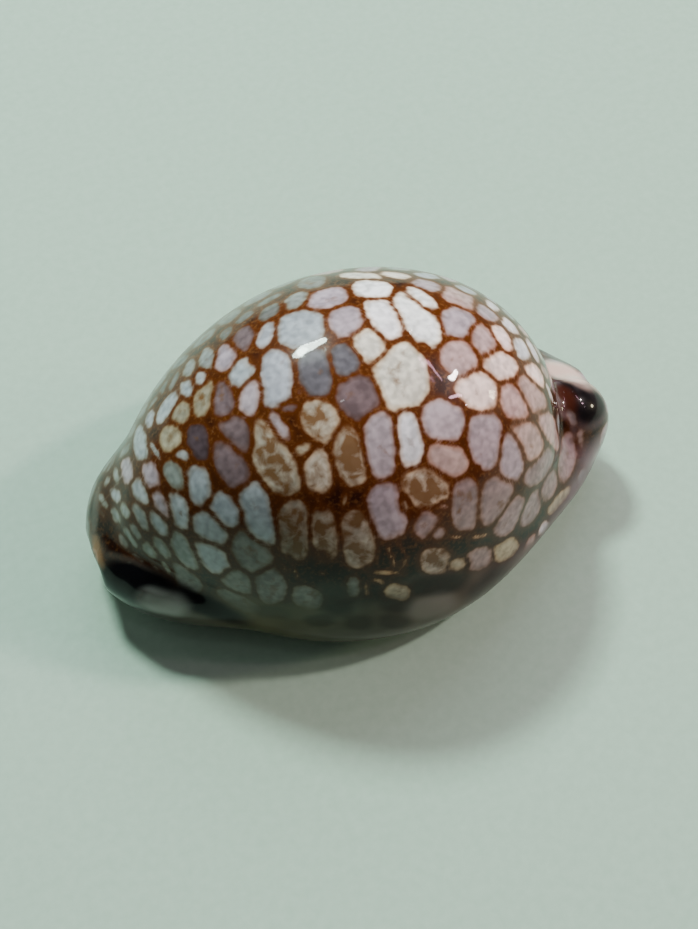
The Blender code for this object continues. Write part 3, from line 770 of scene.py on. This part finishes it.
def shell_enamel():
    """Glossy aragonite enamel, laid down wet by the mantle: a netted colour under clear glaze.

    A Mix takes its share in socket 0 and two colours in 6 and 7. A MapRange takes its value in 0,
    the range it comes from in 1 and 2, and the one it goes to in 3 and 4.
    """
    made, tree, shader = plain_material("glazed_aragonite_enamel")
    place = add(tree, "TexCoord").outputs["Object"]
    gap, cloud, dark, veil = (
        add(tree, "Attribute", attribute_name=name).outputs["Fac"]
        for name in ("line_gap", "cell_cloud", "ground_depth_and_shade", "veil")
    )
    tint, callus = (
        add(tree, "Attribute", attribute_name=name).outputs["Color"]
        for name in ("cell_tint", "callus_and_shade_tint")
    )
    marble, streaks, blots, specks, ripple = (
        add(tree, "TexNoise", {"Vector": place, "Scale": grain_scale(size), "Detail": detail,
                               "Distortion": distortion}).outputs["Fac"]
        for size, detail, distortion in (
            (MARBLE, 2.0, 0.4), (STREAK, 0.5, 0.2), (BLOT, 3.5, 0.3), (SPECK, 1.0, 0.0),
            (RIPPLE, 1.0, 0.0),
        )
    )

    # Brown ground: orange where it is a thin line, nearly black where it pools, with specks
    # where the layer under it shines through
    # Low on the near side the ground is darker still as painted shade
    thin, pool, speck, heart_brown = (
        add(tree, "Mix", {0: dark, 6: colour(high), 7: colour(low)}, data_type="RGBA").outputs[2]
        for high, low in BROWNS
    )
    pooled = add(tree, "MapRange", {0: gap, 1: -0.75, 2: 0.1, 3: 1.0, 4: 0.0})
    plain = add(tree, "Mix", {0: pooled.outputs[0], 6: thin, 7: pool}, data_type="RGBA")
    thinned = add(tree, "MapRange", {0: specks, 1: 0.5, 2: 0.8, 3: 0.0, 4: 0.5})
    ground = add(tree, "Mix", {0: thinned.outputs[0], 6: plain.outputs[2], 7: speck},
                 data_type="RGBA")

    # Milky marbling in every cell, with soft streaks over it
    mottle = add(tree, "Math", {0: marble, 1: streaks})
    milky = add(tree, "MapRange", {0: mottle.outputs[0], 1: 0.74, 2: 1.26, 3: 0.7, 4: 1.14})
    marbled = add(tree, "VectorMath", {0: tint, "Scale": milky.outputs[0]}, operation="SCALE")

    # Clouded cells: a brown heart of blots under a milky fringe
    heart = add(tree, "MapRange", {0: gap, 1: 0.25, 2: 1.1, 3: 0.0, 4: 0.14})
    over = add(tree, "Math", {0: blots, 1: heart.outputs[0]})
    level = add(tree, "MapRange", {0: cloud, 1: 0.0, 2: 1.0, 3: -0.85, 4: -0.53})
    excess = add(tree, "Math", {0: over.outputs[0], 1: level.outputs[0]})
    stained = add(tree, "MapRange", {0: excess.outputs[0], 1: -0.1, 2: 0.13, 3: 0.0, 4: 0.92})
    cell = add(tree, "Mix", {0: stained.outputs[0], 6: marbled.outputs[0], 7: heart_brown},
               data_type="RGBA")

    # From the line to the cell, in millimetres: a little ragged, and soft because it is seen
    # through the glaze
    ragged = add(tree, "MapRange", {0: streaks, 1: 0.3, 2: 0.7, 3: -0.06, 4: 0.06})
    border = add(tree, "Math", {0: gap, 1: ragged.outputs[0]})
    halo = add(tree, "MapRange", {0: border.outputs[0], 1: 0.05, 2: 0.55, 3: 0.75, 4: 0.0})
    tanned = add(tree, "Mix", {0: halo.outputs[0], 6: cell.outputs[2], 7: colour(HALO_TINT)},
                 data_type="RGBA", blend_type="MULTIPLY")
    edge = add(tree, "MapRange", {0: border.outputs[0], 1: -0.1, 2: 0.24, 3: 0.0, 4: 1.0},
               interpolation_type="SMOOTHSTEP")
    netted = add(tree, "Mix", {0: edge.outputs[0], 6: ground.outputs[2], 7: tanned.outputs[2]},
                 data_type="RGBA")
    # The callus tint is darker on the near margin partly as painted shade
    dressed = add(tree, "Mix", {0: veil, 6: netted.outputs[2], 7: callus}, data_type="RGBA")
    tree.links.new(dressed.outputs[2], shader.inputs["Base Color"])

    # Low ripples of the glaze
    bump = add(tree, "Bump", {"Strength": 0.8, "Distance": RIPPLE_DEPTH * MM, "Height": ripple})
    tree.links.new(bump.outputs["Normal"], shader.inputs["Normal"])
    tree.links.new(bump.outputs["Normal"], shader.inputs["Coat Normal"])
    for socket, value in ENAMEL_SURFACE.items():
        shader.inputs[socket].default_value = value
    return made


def table_lacquer():
    """Pale matt lacquer, rolled on: even, with no glare."""
    made, tree, shader = plain_material("matt_lacquer")
    place = add(tree, "TexCoord").outputs["Object"]
    grain = add(tree, "TexNoise", {"Vector": place, "Scale": grain_scale(LACQUER_GRAIN),
                                   "Detail": 2.0})
    low, high = LACQUER_TINTS
    tone = add(tree, "Mix", {0: grain.outputs["Fac"], 6: colour(low), 7: colour(high)},
               data_type="RGBA")
    tree.links.new(tone.outputs[2], shader.inputs["Base Color"])
    shader.inputs["Roughness"].default_value = LACQUER_ROUGHNESS
    return made


def values_on(mesh, name, values):
    attribute = mesh.attributes.new(name, "FLOAT", "POINT")
    attribute.data.foreach_set("value", values.astype(np.float32))


def colours_on(mesh, name, values):
    attribute = mesh.attributes.new(name, "FLOAT_COLOR", "POINT")
    attribute.data.foreach_set("color", values.astype(np.float32).reshape(-1))


def veil_over(points):
    """How much callus covers the net: 0 on the back, 1 at the margin and below."""
    height = VEIL_HEIGHT + by_bearing(bearing_of(points), VEIL_RISE)
    waver = np.array([noise.noise(Vector(p / VEIL_WAVER_LENGTH)) for p in points])
    return ease((height + VEIL_WAVER * waver - points[:, 2]) / VEIL_DEPTH)


def linear(code):
    """An sRGB hex colour as linear red, green and blue to reckon with."""
    return np.array(colour(code)[:3])


def mixed(under, over, share):
    return under + (over - under) * share[..., None]


def callus_and_shade_over(points):
    """Tint of the callus round the margin, darker on the near side partly as painted shade, and
    of the base, the teeth and the hollow.
    """
    bearing = np.degrees(bearing_of(points))
    total = np.zeros((len(points), 3))
    weights = np.zeros(len(points))
    for middle, spread, tint in CALLUS_AND_SHADE_TINTS:
        off = (bearing - middle + 180) % 360 - 180
        share = np.exp(-((off / spread) ** 2)) + LEAST_SHARE
        total += share[:, None] * linear(tint)
        weights += share
    tints = total / weights[:, None]
    mottle = np.array([noise.noise(Vector(p / MOTTLE_LENGTH)) for p in points])
    tints *= (1 + CALLUS_MOTTLE * mottle)[:, None]
    low = ease((BASE_TOP - points[:, 2]) / BASE_FADE)
    return mixed(tints, linear(BASE_TINT) * (1 + BASE_MOTTLE * mottle)[:, None], low)


def teeth_on(points, tints):
    """Chestnut ridges of the teeth, fading out over the base."""
    x = points[:, 0]
    half = SLOT_HALF_WIDTH - SLOT_WIDENING * x / SLOT_HALF_LENGTH + LIP_ROUND
    from_rim = np.abs(points[:, 1] - slot_y(x)) - half
    ridge = (0.5 + 0.5 * np.cos(2 * math.pi * x / TOOTH_PITCH)) ** TOOTH_SHARPNESS
    fade = ease((TEETH_END - np.abs(x)) / TEETH_FADE)
    share = ridge * ease(1 - from_rim / TOOTH_STAIN_RUN) * fade
    return mixed(tints, linear(TOOTH_TINT), TOOTH_STAIN * share)


def spread_of(points, patch_row):
    """How strongly a stain tells at each point: 1 in its middle, fading past its edge."""
    middles, measures = as_arrays([patch_row])
    out, _ = how_far_out(points, middles[0], measures[0])
    return ease((1 + STAIN_SOFTNESS / 2 - out) / STAIN_SOFTNESS)


def blotch_at(skin, bearing, height, half_length, half_width):
    """A blotch on the hidden margin, laid along it."""
    turn = math.radians(bearing)
    x = MARGIN_HALF_LENGTH * BLOTCH_START * math.cos(turn)
    y = MARGIN_HALF_WIDTH * BLOTCH_START * math.sin(turn)
    place, normal, _, _ = skin.find_nearest(Vector((x, y, height)))
    level = Vector((0, 0, 1)).cross(normal).normalized()
    return place, level * half_length, normal.cross(level) * half_width, normal


def paint(mesh, skin, form, outer, under, normals):
    """Everything the enamel's colour needs at each point of the skin."""
    rows = []
    kinds = []
    for kind, cells in CELLS.items():
        rows += [patch(skin, cell) for cell in cells]
        kinds += [kind] * len(cells)
    rows += [patch(skin, cell) for cell in FLECKS]
    kinds += ["fleck"] * len(FLECKS)
    seen = np.array([row[0] for row in rows])
    seen_size = np.array([(row[1].length + row[2].length) / 2 for row in rows])
    stand, _, _, _ = view_axes()
    look = form - np.array(stand)
    facing = -(normals * look).sum(1) / np.linalg.norm(look, axis=1)
    veil = np.where(outer, veil_over(form), 1.0)
    free = np.flatnonzero(outer & (veil < MOST_VEIL) & (facing < SEEN_EDGE))
    draw = np.random.default_rng(PAINT_SEED)
    free = draw.choice(free, min(len(free), SOWN_POINTS), replace=False)
    hidden = hidden_middles(form[free], seen, seen_size)
    laid = lie_on(skin, hidden, cell_width(hidden))
    drawn = list(draw.choice(list(HIDDEN_KINDS), len(hidden), p=list(HIDDEN_KINDS.values())))
    # Hidden cells at the upper left edge that face the camera get the painted-shade grey
    for number, (place, _, _, normal) in enumerate(laid):
        if place.x < DIM_EDGE_X and normal.dot((stand - place).normalized()) > DIM_EDGE_FACING:
            drawn[number] = DIM_KIND
    rows += laid
    kinds += drawn
    wavy = wobbled(form)
    middles, measures = as_arrays(rows)
    _, cell = net(wavy, middles, measures)
    gap = sum(net(wavy + np.array(spot), middles, measures)[0] for spot in EVENING_SPOTS)
    gap /= len(EVENING_SPOTS)

    tints = np.array([linear(CELL_TINTS[kind]) for kind in kinds])
    bright = draw.uniform(*BRIGHTNESS_STRAY, (len(kinds), 1))
    tints *= bright * draw.uniform(*HUE_STRAY, (len(kinds), 3))
    cloud = np.array([CLOUDING.get(kind, 0.0) for kind in kinds])
    values_on(mesh, "line_gap", gap)
    colours_on(mesh, "cell_tint", np.hstack([tints[cell], np.ones((len(form), 1))]))
    values_on(mesh, "cell_cloud", cloud[cell])
    # The brown ground darkens low on the sides; the near side's extra darkness is painted shade
    deepest = FAR_SIDE_DEPTH + (1 - FAR_SIDE_DEPTH) * by_bearing(bearing_of(form), SHADED_NEAR_SIDE)
    values_on(mesh, "ground_depth_and_shade", ease((DEEP_TOP - form[:, 2]) / DEEP_FADE) * deepest)

    # The callus tint, darker on the near side partly as painted shade
    callus = teeth_on(form, callus_and_shade_over(form))
    callus = np.where(under[:, None] > 0, mixed(callus, linear(INNER_TINT), under), callus)
    # Stains are mixed in; the black ones low on the near margin are partly painted shade
    for kind, most, row in STAINS:
        share = most * spread_of(wavy, patch(skin, row))
        callus = mixed(callus, linear(STAIN_TINTS[kind]), share)
        veil = np.maximum(veil, share)
    for row in HIDDEN_BLOTCHES:
        share = BLOTCH_SHARE * spread_of(wavy, blotch_at(skin, *row))
        callus = mixed(callus, linear(STAIN_TINTS["ink"]), share)
        veil = np.maximum(veil, share)
    values_on(mesh, "veil", veil)
    colours_on(mesh, "callus_and_shade_tint", np.hstack([callus, np.ones((len(form), 1))]))


def rolled_ball(mesh, ribs, rings):
    """A ball of ribs and rings, rolled from a flat grid, with its seam and its poles closed."""
    body = bmesh.new()
    bmesh.ops.create_grid(body, x_segments=ribs, y_segments=rings + 1, size=1.0)
    doubled = []
    for point in body.verts:
        turn = (point.co.x + 1) * math.pi
        fall = (point.co.y + 1) * math.pi / 2
        if min(turn, 2 * math.pi - turn, fall, math.pi - fall) < TINY_TURN:
            doubled.append(point)
        out = math.sin(fall)
        point.co = (out * math.cos(turn), out * math.sin(turn), -math.cos(fall))
    bmesh.ops.remove_doubles(body, verts=doubled, dist=TINY_TURN / 10)
    body.to_mesh(mesh)
    body.free()


def form_index(mesh, rings, count):
    """For each vertex of the rolled ball, which of the form's points it moves to."""
    ball = np.empty(len(mesh.vertices) * 3)
    mesh.vertices.foreach_get("co", ball)
    ball = ball.reshape(-1, 3)
    fall = np.arccos(np.clip(ball[:, 2], -1, 1))
    ring = np.rint(fall / math.pi * (rings + 1)).astype(int) - 1
    turn = np.arctan2(ball[:, 1], ball[:, 0])
    rib = np.rint(turn / (2 * math.pi) * RIBS).astype(int) % RIBS
    index = rib * rings + ring
    index[ring < 0] = count - 2
    index[ring >= rings] = count - 1
    return index


def placement(form):
    """The form's foot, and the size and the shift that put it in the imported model's box."""
    low = form.min(0)
    high = form.max(0)
    foot = np.array(((low[0] + high[0]) / 2, (low[1] + high[1]) / 2, low[2]))
    rubbed = RUBBED_FLAT * MM
    room = np.array(CAD_HIGH) - np.array(CAD_LOW)
    room[2] += rubbed
    middle = (np.array(CAD_LOW) + np.array(CAD_HIGH)) / 2
    return foot, (room / (high - low)).min(), np.array((middle[0], middle[1], -rubbed))


def shell():
    """The shell's skin in place of the solid, and what the camera and lamps need of it."""
    top, points, inner_top = shell_points()
    rings = points.shape[1]
    every = np.concatenate([points.reshape(-1, 3), top[None], inner_top[None]])
    mesh = bpy.data.meshes.new("cowrie_shell_skin")
    rolled_ball(mesh, RIBS, rings)
    index = form_index(mesh, rings, len(every))
    ring_of = np.append(np.tile(np.arange(rings), RIBS), (0, rings))[index]
    form = every[index]
    foot, size, shift = placement(form)
    placed = (form - foot) * size + shift
    placed[:, 2] = np.maximum(placed[:, 2], 0)
    mesh.vertices.foreach_set("co", placed.reshape(-1))
    mesh.polygons.foreach_set("use_smooth", np.ones(len(mesh.polygons), bool))
    mesh.update()
    normals = np.empty(len(mesh.vertices) * 3)
    mesh.vertices.foreach_get("normal", normals)
    under = ease((ring_of - OUTER_RINGS - BASE_RINGS) / LIP_RINGS)
    faces = [tuple(face.vertices) for face in mesh.polygons]
    skin = BVHTree.FromPolygons(form.tolist(), faces)
    paint(mesh, skin, form, ring_of < OUTER_RINGS, under, normals.reshape(-1, 3))
    mesh.materials.append(shell_enamel())
    mesh.update()
    thing = bpy.data.objects.new("cowrie_shell_skin", mesh)
    bpy.context.collection.objects.link(thing)
    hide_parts("cowrie_shell")
    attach(thing, "root")
    return skin, foot, size, shift


# Soft boxes, unseen in the gloss: direction, distance, width and height in metres, watts, tone
SOFT_BOXES = (
    ("left_softbox", (-0.75, 0.45, 0.6), 0.8, 0.6, 0.5, 0.7, "#F0FFFA"),
    ("far_softbox", (0.35, 0.6, 0.8), 0.8, 0.5, 0.4, 3.0, "#F0EEFF"),
    ("near_fill", (0.1, -0.8, 0.9), 1.0, 0.9, 0.6, 0.35, "#FFF0F4"),
)
# Lamps that the gloss mirrors: the glint's middle, half length, half width and lean in the
# photograph's pixels, then watts and tone
GLINT_LAMPS = (
    ("behind_window", (312, 344, 10, 5, -34), 4.4, "#E6FFF4"),
    ("behind_lamp", (300, 352, 4, 2.5, -20), 0.7, "#E6FFF4"),
    ("right_lamp", (449, 377, 5, 3.5, 30), 2.3, "#FFF0EA"),
    ("pink_ring", (455, 394, 5, 2.5, 0), 0.35, "#FFC8E0"),
    ("low_lamp", (494, 397, 6, 5, 40), 0.9, "#FFF0CC"),
    ("pink_streak", (431, 369, 17, 1.0, 60), 0.3, "#FFC2DC"),
    ("small_lamp_a", (411, 334, 2, 1.4, 0), 0.04, "#FFFFFF"),
    ("small_lamp_b", (343, 398, 5, 1.2, -8), 0.05, "#FFFFFF"),
    ("small_lamp_c", (464, 406, 2.5, 2, 0), 0.06, "#FFE4EE"),
)
# In metres: how far those lamps stand, half the table's width, the height of the shell's
# middle, where the soft boxes aim, and the nearest that the camera sees
LAMP_AWAY, TABLE_HALF, MIDDLE_HEIGHT, NEAREST_SEEN = 0.6, 1.5, 0.018, 0.01
WORLD_TINT, WORLD_STRENGTH = "#E6ECE8", 0.06


def camera(foot, size, shift):
    """Camera at the photograph's viewing angle and frame."""
    _, _, _, back = view_axes()
    aim = Vector((np.array(CAMERA_AIM) - foot) * size + shift)
    lens = bpy.data.cameras.new("camera")
    lens.sensor_fit = "HORIZONTAL"
    lens.sensor_width = SENSOR_WIDTH
    lens.lens = FOCAL_PIXELS * SENSOR_WIDTH / PHOTO_WIDTH
    lens.clip_start = NEAREST_SEEN
    stand = bpy.data.objects.new("camera", lens)
    stand.location = aim + back * CAMERA_AWAY * size
    stand.rotation_euler = back.to_track_quat("Z", "Y").to_euler()
    bpy.context.collection.objects.link(stand)
    bpy.context.scene.camera = stand


def mirrored(skin, x, y):
    """Direction of the light that the skin mirrors to the camera at a pixel."""
    _, normal = seen_at(skin, x, y)
    look = sight(x, y)[1]
    return look.reflect(normal).normalized()


def lamp(name, place, aim, width, height, power, tone, long_way=None):
    """A soft box, or an oval lamp that the gloss shows where its long way is given."""
    light = bpy.data.lights.new(name, "AREA")
    light.shape = "RECTANGLE" if long_way is None else "ELLIPSE"
    light.size = width
    light.size_y = height
    light.energy = power
    light.color = colour(tone)[:3]
    thing = bpy.data.objects.new(name, light)
    thing.location = place
    back = (place - aim).normalized()
    if long_way is None:
        thing.rotation_euler = back.to_track_quat("Z", "Y").to_euler()
        thing.visible_glossy = False
    else:
        across = (long_way - back * long_way.dot(back)).normalized()
        thing.rotation_euler = Matrix((across, back.cross(across), back)).transposed().to_euler()
    bpy.context.collection.objects.link(thing)


def studio(skin, foot, size, shift):
    """Pale table, soft boxes, the lamps behind the glints, and a dim even world."""
    grid = bmesh.new()
    bmesh.ops.create_grid(grid, x_segments=1, y_segments=1, size=TABLE_HALF)
    mesh = bpy.data.meshes.new("table")
    grid.to_mesh(mesh)
    grid.free()
    mesh.materials.append(table_lacquer())
    table = bpy.data.objects.new("table", mesh)
    bpy.context.collection.objects.link(table)
    middle = Vector((0, 0, MIDDLE_HEIGHT))
    for name, direction, away, width, height, power, tone in SOFT_BOXES:
        place = middle + Vector(direction).normalized() * away
        lamp(name, place, middle, width, height, power, tone)
    for name, (x, y, half_length, half_width, lean), power, tone in GLINT_LAMPS:
        along = Vector((math.cos(math.radians(lean)), math.sin(math.radians(lean))))
        point = Vector((np.array(seen_at(skin, x, y)[0]) - foot) * size + shift)
        ends = []
        for reach, way in ((half_length, along), (half_width, along.orthogonal())):
            for side in (-1, 1):
                ends.append(mirrored(skin, x + side * reach * way.x, y + side * reach * way.y))
        place = point + mirrored(skin, x, y) * LAMP_AWAY
        long_way = (ends[1] - ends[0]) * LAMP_AWAY
        width = (ends[3] - ends[2]).length * LAMP_AWAY
        lamp(name, place, point, long_way.length, width, power, tone, long_way)
    world = bpy.data.worlds.new("studio")
    world.use_nodes = True
    glow = world.node_tree.nodes["Background"]
    glow.inputs["Color"].default_value = colour(WORLD_TINT)
    glow.inputs["Strength"].default_value = WORLD_STRENGTH
    bpy.context.scene.world = world


skin, foot, size, shift = shell()
camera(foot, size, shift)
studio(skin, foot, size, shift)
